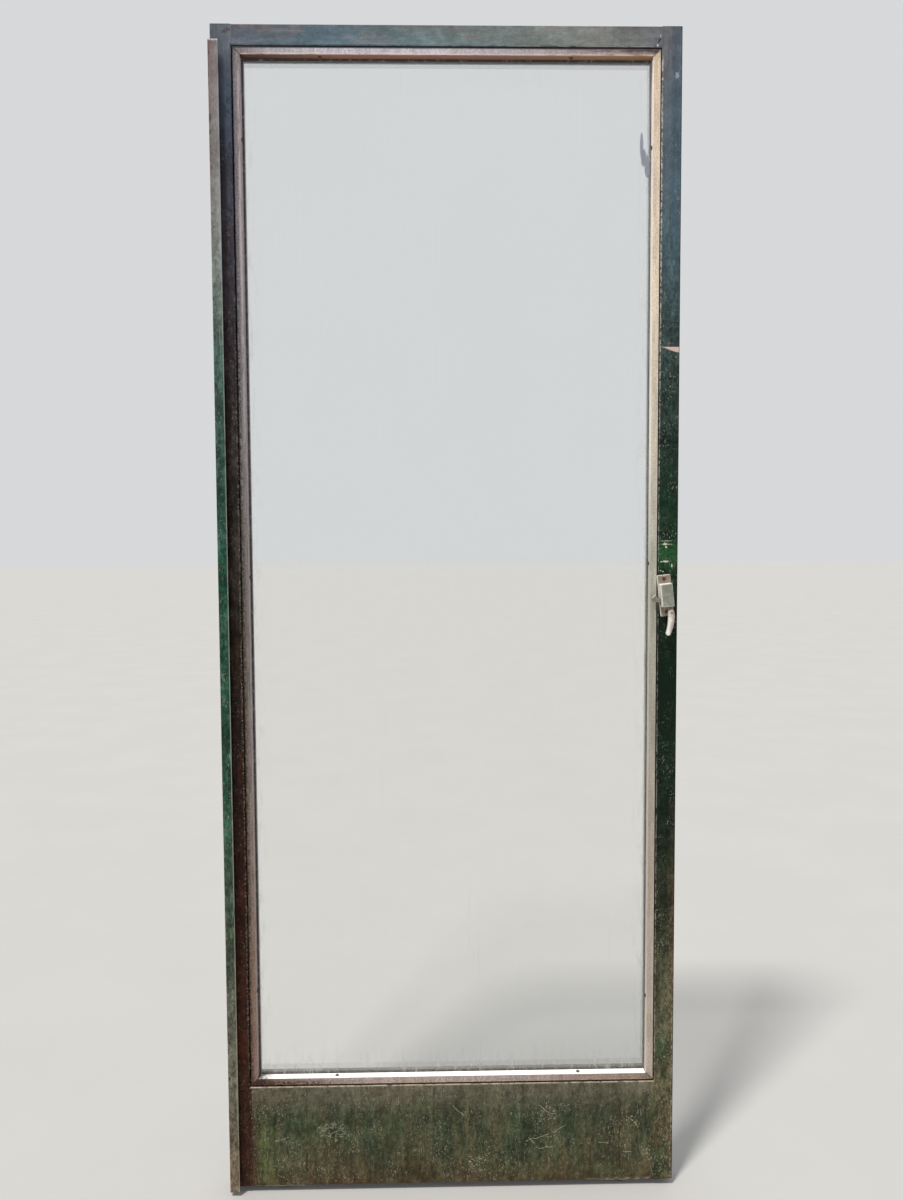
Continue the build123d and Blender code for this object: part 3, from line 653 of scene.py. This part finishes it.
def weathered(node, faces, inner, grime, amount, grit=0.12, marks=None):
    """Chalky drawn aluminium whose tone changes along it, under grime, with its glass side painted lighter
    or darker by how it faces the light.
    """
    coat = Coat(node + "_metal", None, 0.5, metallic=0.2, specular=0.3)
    inner_axis, inner_at, inner_tones, inner_dirt = inner
    level = inner_axis == "z"
    coat.colour = coat.stops(coat.x if level else coat.z, faces)
    coat.vary(coat.patchy(0.3, 0.7, (0.01, 0.06), 5, 0.65, 0, 0.84, 1.12))
    veil = coat.patchy(0.62 - 0.3 * amount, 0.78 - 0.2 * amount, 0.035, 6, 0.72, 4)
    spot = coat.times(coat.patchy(0.6, 0.68, 0.0026, 4, 0.72, 6), coat.patchy(0.4, 0.65, 0.05, 3, 0.6, 8))
    coat.lay("veil", grime, 0.35 + 0.5 * amount, veil)
    coat.lay("spots", (58, 44, 34), 0.75, spot)
    corner = coat.either(*[
        coat.times(coat.near(coat.x, sx * stile_in, 0.03), coat.near(coat.z, z, 0.03))
        for sx in (-1, 1) for z in (panel_top, rail_under)])
    dirty = coat.times(corner, coat.patchy(0.36, 0.6, 0.006, 5, 0.7, 9))
    coat.lay("dirty corner", (70, 54, 42), 0.75, dirty)
    coat.vary(coat.patchy(0.42, 0.58, 0.0035, 5, 0.78, 14, 1 - grit, 1 + grit))
    # Glass side: painted light on the bottom and right beads, painted shade under the top bead, with grime
    # over it.
    side = coat.near(getattr(coat, inner_axis), inner_at, bead_skin)
    grimed = coat.patchy(0.5, 0.7, 0.02, 5, 0.7, 16, 0.0, inner_dirt)
    lit_side_under_grime = coat.over(coat.stops(coat.z, inner_tones), grimed, grime)
    coat.lay("glass side", lit_side_under_grime, side)
    if marks:
        marks(coat)
    out_x = coat.less(bead_out, coat.calc("ABSOLUTE", coat.x))
    out_z = coat.less(bead_half, coat.calc("ABSOLUTE", coat.less(coat.z, bead_mid)))
    coat.lay("mitre", (48, 36, 34), 0.9, coat.near(coat.less(out_x, out_z), 0.0, 0.0019))
    line = coat.noise((0.08, 0.0012, 0.0012) if level else (0.0012, 0.08), 3, 0.6, 10)
    coat.vary(coat.grade(line, 0.35, 0.65, 0.93, 1.06))
    coat.relief(line, 0.00006, 0.4)
    coat.relief(coat.noise(0.0016, 4, 0.7, 12), 0.00012, 0.5)
    coat.relief(coat.calc("ADD", spot, veil), 0.00012, 0.5)
    metal = coat.grade(coat.either(veil, spot, dirty, side), 0.0, 1.0, 0.4, 0.05)
    wear(node, coat.finish(coat.grade(veil, 0.0, 1.0, 0.42, 0.72), metal))


def rubbed(coat):
    """Left bead: painted shade in the joint at its outer side, granular soot beside it, and a painted
    highlight on the edge beside the glass.
    """
    # Painted shade in the gap beside the stile.
    coat.lay("joint", (18, 12, 12), 0.9, coat.near(coat.x, -bead_out, 0.0026))
    coat.lay("soot", (44, 35, 31), 0.85, coat.grade(coat.x, -bead_in - 0.005, -bead_out + 0.002),
             coat.grade(coat.z, 1.75, 1.45, 0.35, 1.0),
             coat.patchy(0.46, 0.54, (0.0045, 0.01), 5, 0.78, 20))
    # Painted highlight along the edge beside the glass.
    coat.lay("gleam", (206, 196, 192), 0.6, coat.near(coat.x, -bead_in - 0.003, 0.004),
             coat.grade(coat.z, 1.2, 1.6, 0.3, 1.0), coat.patchy(0.36, 0.6, (0.004, 0.05), 4, 0.7, 22))


def caked(coat):
    """Bottom bead: red-brown grit on the left of its front, thickest in the corner."""
    coat.lay("gunk", (56, 36, 28), 0.85, coat.grade(coat.x, -0.315, -0.345),
             coat.patchy(0.36, 0.5, 0.006, 5, 0.75, 24))
    coat.lay("grit", (62, 32, 26), coat.grade(coat.x, -0.1, -0.3),
             coat.patchy(0.44, 0.55, 0.0042, 5, 0.78, 18),
             coat.grade(coat.z, bottom_low.z + 0.010, bottom_low.z + 0.004))


def top_bead_light_and_marks(coat):
    """Top bead: a painted highlight on its lower edge, painted shadow in the joint under the rail,
    streaks, and an underside that is darker on the left and ochre on the right."""
    # Painted highlight on the eased lower front edge, which catches the light.
    coat.lay("lit lower edge", (226, 210, 206), 0.6, coat.near(coat.z, top_low.z + 0.001, 0.0038),
             coat.grade(coat.y, top_low.y + 0.002, top_low.y),
             coat.patchy(0.34, 0.56, (0.03, 0.004, 0.004), 4, 0.7, 22))
    underside = coat.near(coat.z, top_low.z, bead_skin)
    coat.lay("darker left underside", (56, 34, 32), 0.7, underside, coat.grade(coat.x, -0.16, -0.34),
             coat.grade(coat.y, top_low.y, top_low.y + 0.002))
    coat.lay("ochre end", (164, 128, 80), 0.6, underside, coat.grade(coat.x, 0.1, 0.3))
    coat.lay("streaks", (52, 38, 44), 0.8, coat.grade(coat.x, 0.16, 0.33),
             coat.grade(coat.z, top_low.z + 0.003, top_low.z + 0.006),
             coat.patchy(0.46, 0.56, (0.05, 0.003, 0.003), 4, 0.65, 28))
    # Painted shadow of the rail in the gap above the bead.
    coat.lay("joint", (22, 14, 22), 1.15, coat.near(coat.z, top_high.z, 0.0036))


weathered(
    "top_bead",
    ((-0.36, (124, 114, 116)), (-0.3, (170, 163, 167)), (-0.2, (190, 184, 190)), (0.0, (194, 188, 193)),
     (0.12, (174, 166, 169)), (0.28, (160, 144, 142)), (0.36, (142, 122, 116))),
    ("z", top_low.z, ((0.2, (156, 112, 94)), (2.0, (156, 112, 94))), 0.4),
    (128, 112, 100), 0.2, 0.2, top_bead_light_and_marks)
weathered(
    "right_bead",
    ((0.22, (188, 174, 162)), (0.6, (174, 161, 149)), (0.9, (168, 164, 152)), (1.15, (182, 179, 167)),
     (1.35, (208, 198, 180)), (1.6, (230, 212, 190)), (1.95, (226, 204, 180))),
    ("x", bead_in, ((0.2, (214, 200, 186)), (0.5, (196, 184, 172)), (1.15, (188, 183, 170)),
                    (1.3, (236, 232, 220)), (2.0, (255, 246, 238))), 0.1),
    (170, 152, 132), 0.2)
# Darker than the right bead: grime, with painted shade of the interlock strip.
weathered(
    "left_bead",
    ((0.22, (126, 98, 86)), (0.5, (120, 100, 88)), (0.8, (110, 100, 92)), (1.1, (104, 97, 91)),
     (1.35, (122, 118, 118)), (1.6, (118, 113, 118)), (1.95, (124, 116, 121))),
    ("x", -bead_in, ((0.2, (160, 136, 126)), (0.6, (168, 156, 152)), (2.0, (166, 152, 162))), 0.6),
    (98, 84, 76), 0.3, 0.3, rubbed)
weathered(
    "bottom_bead",
    ((-0.36, (84, 62, 52)), (-0.27, (150, 132, 124)), (-0.2, (180, 162, 154)), (0.12, (176, 160, 152)),
     (0.28, (162, 140, 127)), (0.36, (154, 134, 120))),
    ("z", bottom_high.z, ((0.2, (255, 253, 250)), (2.0, (255, 253, 250))), 0.25),
    (112, 90, 80), 0.3, 0.25, caked)

# Screws: self-tapping steel screws with domed heads and one slot, driven by hand through the
# beads and under the rollers, and two countersunk ones in the latch plate, all rusted brown.


def screw_places(node):
    """Each screw's seat and the way it points, with its radii and lengths, from its solid."""
    mesh = bmesh.new()
    mesh.from_mesh(nodes[node].data)
    bmesh.ops.remove_doubles(mesh, verts=mesh.verts, dist=1e-6)
    seen, places = set(), []
    for start in mesh.verts:
        if start in seen:
            continue
        seen.add(start)
        solid = [start]
        for vert in solid:
            for edge in vert.link_edges:
                other = edge.other_vert(vert)
                if other not in seen:
                    seen.add(other)
                    solid.append(other)
        points = [vert.co.copy() for vert in solid]
        low, high = [Vector(end(p[i] for p in points) for i in range(3)) for end in (min, max)]
        long = max(range(3), key=lambda i: high[i] - low[i])
        middle = (low + high) / 2
        levels = sorted({round(p[long], 6) for p in points})
        reach = {
            level: max((p - middle).length_squared - (p[long] - middle[long]) ** 2
                       for p in points if abs(p[long] - level) < 2e-6) ** 0.5 for level in levels}
        if reach[levels[0]] < reach[levels[-1]]:
            levels.reverse()
        axis = Vector((0, 0, 0))
        axis[long] = 1.0 if levels[-1] > levels[0] else -1.0
        seat = middle.copy()
        seat[long] = levels[1]
        places.append({
            "seat": seat, "axis": axis, "head": reach[levels[0]], "shank": reach[levels[-1]],
            "height": abs(levels[1] - levels[0]), "length": abs(levels[-1] - levels[1])})
    mesh.free()
    return places


rusty = Coat("rusty_screw_steel", (104, 84, 66), 0.6, metallic=0.6)
scab = rusty.noise(0.0016, 5, 0.72)
rusty.lay("rust", (66, 38, 24), rusty.grade(scab, 0.42, 0.6))
rusty.lay("bare steel", (150, 138, 122), rusty.patchy(0.62, 0.7, 0.0008, 3, 0.6, 3))
rusty.relief(scab, 0.00015, 0.8)
rusty_steel = rusty.finish(rusty.grade(scab, 0.4, 0.6, 0.45, 0.85), rusty.grade(scab, 0.4, 0.6, 0.8, 0.1))


def screw_tree(name, screw, dome_share, seat_radius):
    """Tree that sets one screw on each point, turned to its axis and by its own twist."""
    tree = Tree(name, Head=screw["head"], Rise=screw["height"], Dome=dome_share, Seat=seat_radius,
                Shank=screw["shank"], Length=screw["length"], Slot=0.0009, Depth=0.0010, Pitch=0.0014,
                Finish=rusty_steel)
    carrier, radius, rise, dome, seat, thick, length, slot, depth, pitch = tree.given[:10]
    head = tree.moved(tree.add("MeshCylinder", 28, 5, 4, radius, rise), 0.0, 0.0, tree.times(rise, -0.5))
    x, y, z = tree.parts_of_place()
    out = tree.calc("SQRT", tree.calc("ADD", tree.times(x, x), tree.times(y, y)))
    out = tree.calc("DIVIDE", out, radius)
    fall = tree.less(1.0, tree.times(dome, tree.calc("POWER", out, 2.4)))
    up = tree.calc("DIVIDE", tree.times(z, -1.0), rise)
    share = tree.calc("DIVIDE", seat, radius)
    wide = tree.calc("ADD", share, tree.times(tree.less(1.0, share), up))
    shaped = tree.vector(tree.times(x, wide), tree.times(y, wide), tree.times(z, fall))
    head = tree.add("SetPosition", head, None, shaped)
    bar = tree.add("MeshCube", tree.vector(tree.times(radius, 3.0), slot, tree.times(depth, 2.0)))
    bar = tree.moved(bar, 0.0, 0.0, tree.times(rise, -1.0))
    cut = tree.add("MeshBoolean", operation="DIFFERENCE", solver="EXACT")
    tree.plug(cut.inputs["Mesh 1"], head)
    tree.plug(cut.inputs["Mesh 2"], bar)
    core = tree.times(thick, 0.8)
    tip = tree.times(thick, 2.0)
    straight = tree.less(length, tip)
    shank = tree.add("MeshCylinder", 16, 1, 1, core, straight)
    shank = tree.moved(shank, 0.0, 0.0, tree.times(straight, 0.5))
    point = tree.moved(tree.add("MeshCone", 16, 1, 1, 0.0, core, tip), 0.0, 0.0, straight)
    turns = tree.calc("DIVIDE", straight, pitch)
    thread = tree.add("CurveSpiral", 14, turns, core, core, straight, False)
    crest = tree.add("CurvePrimitiveCircle", 3, None, None, None, tree.times(thick, 0.2), mode="RADIUS")
    thread = tree.add("CurveToMesh", thread, crest, 1.0)
    thread.inputs["Fill Caps"].default_value = True
    whole = tree.joined(cut, shank, point, thread)
    axis = tree.add("InputNamedAttribute", "axis", data_type="FLOAT_VECTOR")
    twist = tree.add("InputNamedAttribute", "twist", data_type="FLOAT")
    turn = tree.function("AlignRotationToVector", None, 1.0, axis, axis="Z")
    spin = tree.function("AxisAngleToRotation", (0.0, 0.0, 1.0), twist)
    turn = tree.function("RotateRotation", turn, spin, rotation_space="LOCAL")
    tree.end(tree.add("InstanceOnPoints", carrier, None, whole, None, None, turn))
    return tree


def screw_points(places):
    """Carrier mesh with one point at each seat and the way its screw points and is turned."""
    mesh = plain_mesh("seats", [place["seat"] for place in places])
    mesh.attributes.new("axis", "FLOAT_VECTOR", "POINT")
    mesh.attributes.new("twist", "FLOAT", "POINT")
    for index, place in enumerate(places):
        mesh.attributes["axis"].data[index].vector = place["axis"]
        mesh.attributes["twist"].data[index].value = 0.5 + 1.9 * index
    return mesh


for node, dome in (("bead_screws", 0.62), ("roller_screws", 0.62), ("latch_screws", 0.0)):
    places = screw_places(node)
    screw = places[0]
    seat_radius = screw["head"] if dome else screw["shank"]
    screws = screw_tree(node + "_tree", screw, dome, seat_radius).run(
        node.replace("screws", "screw_set"), screw_points(places))
    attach(screws, "leaf")
    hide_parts(node)

# Latch: a stamped plate, a pressed case and a flat hook in grey stove lacquer, with painted
# highlights along the edges that face the light, and a die-cast zinc thumb lever riveted to
# the hook's tail.
plate_low, plate_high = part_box("latch_plate")
latch_middle = (plate_low + plate_high) / 2
latch_tilt = 6
right, up, left, down = 0, 90, 180, 270
case_half, case_above, case_below = 0.0105, 0.0215, 0.019
plate_half, plate_reach = 0.012, 0.0365
beak_turn, beak_at = 126.9, 0.0140


def lacquer(name, face, second_tone, grime, dirt, rims=(), marks=None):
    """Grey lacquer or bare cast metal; rims are edges painted pale as highlights, each by its turn, place
    and width.
    """
    coat = Coat(name, face, 0.45, metallic=0.1)

    def turned(along, aside, degrees):
        angle = radians(degrees)
        return coat.calc("ADD", coat.times(along, cos(angle)), coat.times(aside, sin(angle)))

    from_x = coat.less(coat.x, latch_middle.x)
    from_z = coat.less(coat.z, latch_middle.z)
    across = turned(from_x, from_z, latch_tilt)
    upward = turned(from_z, from_x, -latch_tilt)
    coat.lay("second tone", second_tone, coat.patchy(0.4, 0.65, 0.012))
    soot = coat.patchy(0.56 - 0.1 * dirt, 0.68, 0.006, 6, 0.72, 4)
    nick = coat.patchy(0.66, 0.7, 0.0018, 4, 0.7, 6)
    coat.lay("soot", grime, 0.35 + 0.5 * dirt, soot)
    coat.lay("nicks", (92, 72, 54), nick)
    # Painted highlights along the rims that face the light.
    for turn, at, width in rims:
        coat.lay("rim highlight", (246, 242, 230), 0.9, coat.near(turned(across, upward, turn), at, width),
                 coat.patchy(0.3, 0.46, 0.0025, 3, 0.6, 10))
    if marks:
        marks(coat, across, upward)
    coat.relief(coat.noise(0.0009, 3, 0.7, 8), 0.00006, 0.5)
    coat.relief(coat.calc("ADD", nick, soot), 0.0001, 0.5)
    return coat.finish(coat.grade(soot, 0.0, 1.0, 0.36, 0.7), coat.grade(nick, 0.0, 1.0, 0.15, 0.6))


def shaded_lever(coat, across, upward):
    """Thumb side of the lever, with painted shade along its right half and pinkish round the rivet."""
    share = coat.grade(upward, -0.028, -0.068, 0.0, 1.0)
    middle = coat.less(0.0062, coat.times(share, 0.0088))
    # Painted shade on the right half of the rounded lever, away from the light.
    coat.lay("right half shade", (150, 142, 128), 0.75, coat.grade(coat.less(across, middle), -0.0012, 0.0034))
    coat.lay("warm", (168, 134, 118), 0.6, coat.grade(upward, -0.046, -0.034),
             coat.patchy(0.4, 0.56, 0.003, 4, 0.7, 12))


def one_skin(node, name):
    """Copy of a node whose loose triangles are joined into one closed skin."""
    piece = placed(name, nodes[node].data.copy())
    mesh = bmesh.new()
    mesh.from_mesh(piece.data)
    bmesh.ops.remove_doubles(mesh, verts=mesh.verts, dist=2e-6)
    bmesh.ops.dissolve_limit(
        mesh, angle_limit=radians(0.5), verts=mesh.verts, edges=mesh.edges, use_dissolve_boundaries=False)
    bmesh.ops.triangulate(mesh, faces=[face for face in mesh.faces if len(face.verts) > 4])
    bmesh.ops.recalc_face_normals(mesh, faces=mesh.faces)
    for face in mesh.faces:
        face.smooth = True
    mesh.to_mesh(piece.data)
    mesh.free()
    piece.data.attributes.remove(piece.data.attributes["custom_normal"])
    return piece


def softened(node, width):
    """Skin of a node with its sharp edges eased as a press or a mould leaves them."""
    piece = one_skin(node, node + "_eased")
    ease = piece.modifiers.new("ease", "BEVEL")
    ease.width = width
    ease.segments = 3
    ease.limit_method = "ANGLE"
    ease.angle_limit = radians(28)
    ease.harden_normals = True
    return piece


case_finish = lacquer(
    "latch_case_lacquer", (126, 127, 118), (150, 150, 139), (104, 100, 90), 0.2,
    ((left, case_half, 0.0022), (up, case_above, 0.0026), (right, case_half, 0.0009),
     (down, case_below, 0.0009)))
# The hook's rim is a painted highlight on the beak's upper-left edge.
hook_finish = lacquer(
    "latch_hook_steel", (118, 114, 102), (140, 134, 122), (82, 66, 54), 0.4, ((beak_turn, beak_at, 0.0013),))
plate_finish = lacquer(
    "latch_plate_steel", (132, 117, 104), (156, 143, 128), (82, 64, 54), 0.5,
    ((left, plate_half, 0.0022), (up, plate_reach, 0.0024)))
zinc_finish = lacquer(
    "thumb_lever_zinc", (228, 224, 214), (240, 238, 230), (176, 156, 140), 0.1, marks=shaded_lever)
for node, width, body, finish, record_slot in (
        ("latch_case", 0.0003, "leaf", case_finish, "latch_paint"),
        ("latch_plate", 0.00025, "leaf", plate_finish, "latch_steel"),
        ("latch_hook", 0.0003, "latch_rocker", hook_finish, "latch_steel"),
        ("latch_lever", 0.0007, "latch_rocker", zinc_finish, "lever_zinc")):
    eased = softened(node, width)
    wear(eased, finish)
    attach(eased, body)
    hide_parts(node)

bright = Coat("bright_latch_steel", (168, 160, 148), 0.35, metallic=0.9)
stain = bright.noise(0.003, 5, 0.7)
bright.lay("stain", (110, 84, 62), bright.grade(stain, 0.5, 0.65))
bright.relief(stain, 0.00005, 0.5)
latch_steel = bright.finish(bright.grade(stain, 0.4, 0.65, 0.28, 0.6))
wear("latch_rivet", latch_steel)
wear("latch_pivot_pin", latch_steel)
spring = one_skin("latch_spring", "latch_spring_flexing")
spring.data.set_sharp_from_angle(angle=radians(30))
wear(spring, latch_steel)
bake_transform(spring)
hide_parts("latch_spring")

# Rollers: two grooved steel wheels on riveted axles in top-hat housings, screwed under the
# panel's lips. The zinc plating has dulled, and the grooves are polished by the track.


def plating(name, polished):
    coat = Coat(name, (150, 148, 142), 0.45, metallic=0.9)
    bloom = coat.noise(0.012, 5, 0.7)
    rust = coat.patchy(0.54, 0.66, 0.008, 6, 0.74, 5)
    coat.lay("bloom", (112, 106, 96), coat.grade(bloom, 0.4, 0.65))
    coat.lay("rust", (92, 54, 32), 0.8, rust)
    if polished:
        coat.lay("polished groove", (190, 188, 182), 0.7, coat.near(coat.y, 0.0, 0.003))
    coat.relief(rust, 0.0001, 0.5)
    coat.relief(coat.noise(0.001, 3, 0.7, 8), 0.00004, 0.4)
    rough = coat.calc("ADD", coat.grade(bloom, 0.35, 0.65, 0.35, 0.55), coat.times(rust, 0.3))
    return coat.finish(rough, coat.grade(rust, 0.0, 1.0, 0.9, 0.15))


housing_plating = plating("housing_zinc_plate", False)
wheel_plating = plating("wheel_steel", True)
for side in ("left", "right"):
    wear(side + "_roller_housing", housing_plating)
    wear(side + "_roller_wheel", wheel_plating)
    wear(side + "_roller_axle", wheel_plating)

# Dirt: sand and old mortar that lodge where water stands, along the sill under the bottom
# bead, in its corners and beside the hidden stile's bead. Nothing holds it but its own crust.
crumb = Coat("crumbled_dirt", (122, 98, 74), 0.95)
crumb.lay("damp", (72, 50, 36), crumb.patchy(0.4, 0.65, 0.004))
crumb.lay("mortar", (150, 132, 110), crumb.grade(crumb.z, 0.06, 0.03))
crumb.relief(crumb.noise(0.0008, 3, 0.7), 0.0002, 0.8)


def dirt_tree():
    """Tree that scatters crumbs, each with its own size and turn, over its carrier."""
    tree = Tree("dirt", Density=60000.0, Small=0.25, Large=1.0, Size=0.0011, Seed=7, Finish=crumb.finish())
    carrier, density, small, large, size, seed = tree.given[:6]
    spots = tree.add("DistributePointsOnFaces", carrier, distribute_method="RANDOM")
    tree.plug(spots.inputs["Density"], density)
    tree.plug(spots.inputs["Seed"], seed)
    grain = tree.add("MeshIcoSphere", size, 2)
    chosen = tree.function("RandomValue", data_type="FLOAT")
    tree.plug(chosen.inputs[2], small)
    tree.plug(chosen.inputs[3], large)
    chosen = chosen.outputs[1]
    turn = tree.function("RandomValue", (-3.1, -3.1, -3.1), (3.1, 3.1, 3.1), data_type="FLOAT_VECTOR")
    turn = tree.function("EulerToRotation", turn)
    flat = tree.vector(chosen, tree.times(chosen, 0.7), chosen)
    crumbs = tree.add("InstanceOnPoints", spots, None, grain, None, None, turn, flat)
    rough = tree.function("RandomValue", (-0.00012,) * 3, (0.00012,) * 3, data_type="FLOAT_VECTOR")
    tree.end(tree.add("SetPosition", tree.add("RealizeInstances", crumbs), None, None, rough))
    return tree


def ledges(strips):
    """Carrier mesh of level and upright strips where dirt lodges."""
    points, faces = [], []
    for corner, along, across in strips:
        faces.append(range(len(points), len(points) + 4))
        corner, along, across = Vector(corner), Vector(along), Vector(across)
        points += [corner, corner + along, corner + along + across, corner + across]
    return plain_mesh("ledges", points, faces=faces)


sill_span = 2 * stile_in - 0.004
bead_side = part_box("left_bead")[0].x
dirt = dirt_tree().run("lodged_dirt", ledges((
    ((0.24, leaf_front + 0.0006, panel_foot + 0.0003), (stile_out - 0.242, 0, 0), (0, 0.0002, 0.0022)),
    ((-stile_in + 0.002, leaf_front + 0.001, panel_top + 0.0008), (sill_span, 0, 0), (0, 0.006, 0)),
    ((bead_side - 0.0012, leaf_front + 0.0012, panel_top), (0, 0, 1.3), (0, 0.003, 0)))))
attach(dirt, "leaf")

# Floor, light and camera: a plain pale floor under an even white sky, with one soft sun high
# on the left, and a camera at breast height before the leaf that looks slightly down.
floor_level = min(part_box("left_roller_wheel")[0].z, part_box("interlock_strip")[0].z)
reach = 60.0
corners = [(x * reach, y * reach, floor_level) for x, y in ((-1, -1), (1, -1), (1, 1), (-1, 1))]
floor = placed("floor", plain_mesh("floor", corners, faces=[(0, 1, 2, 3)]))
ground = Coat("plain_floor", (180, 179, 177), 0.9, specular=0.1)
ground.vary(ground.patchy(0.3, 0.7, 0.4, 3, 0.6, 0, 0.985, 1.015))
wear(floor, ground.finish())

world = bpy.data.worlds.new("even_sky")
world.use_nodes = True
sky = world.node_tree.nodes["Background"].inputs
sky["Color"].default_value = (0.97, 0.985, 1.0, 1.0)
sky["Strength"].default_value = 0.7
bpy.context.scene.world = world

sun_data = bpy.data.lights.new("soft_sun", "SUN")
sun_data.energy = 3.0
sun_data.angle = radians(7)
sun_data.color = (1.0, 0.97, 0.92)
sun = placed("soft_sun", sun_data)
sun.rotation_euler = Vector((-0.8, -1.0, 2.8)).to_track_quat("Z", "Y").to_euler()

camera_data = bpy.data.cameras.new("camera")
camera_data.lens = 27.0
camera_data.sensor_width = 36.0
camera_data.clip_end = 200.0
camera = placed("camera", camera_data)
camera_right = Vector((0.999800, -0.019309, -0.005093))
camera_up = Vector((0.006208, 0.058107, 0.998291))
camera_back = camera_right.cross(camera_up)
camera.matrix_world = Matrix.Translation((-0.02764, -1.59095, 1.16181)) @ Matrix(
    (camera_right, camera_up, camera_back)).transposed().to_4x4()
bpy.context.scene.camera = camera
bpy.context.scene.view_settings.view_transform = "Standard"
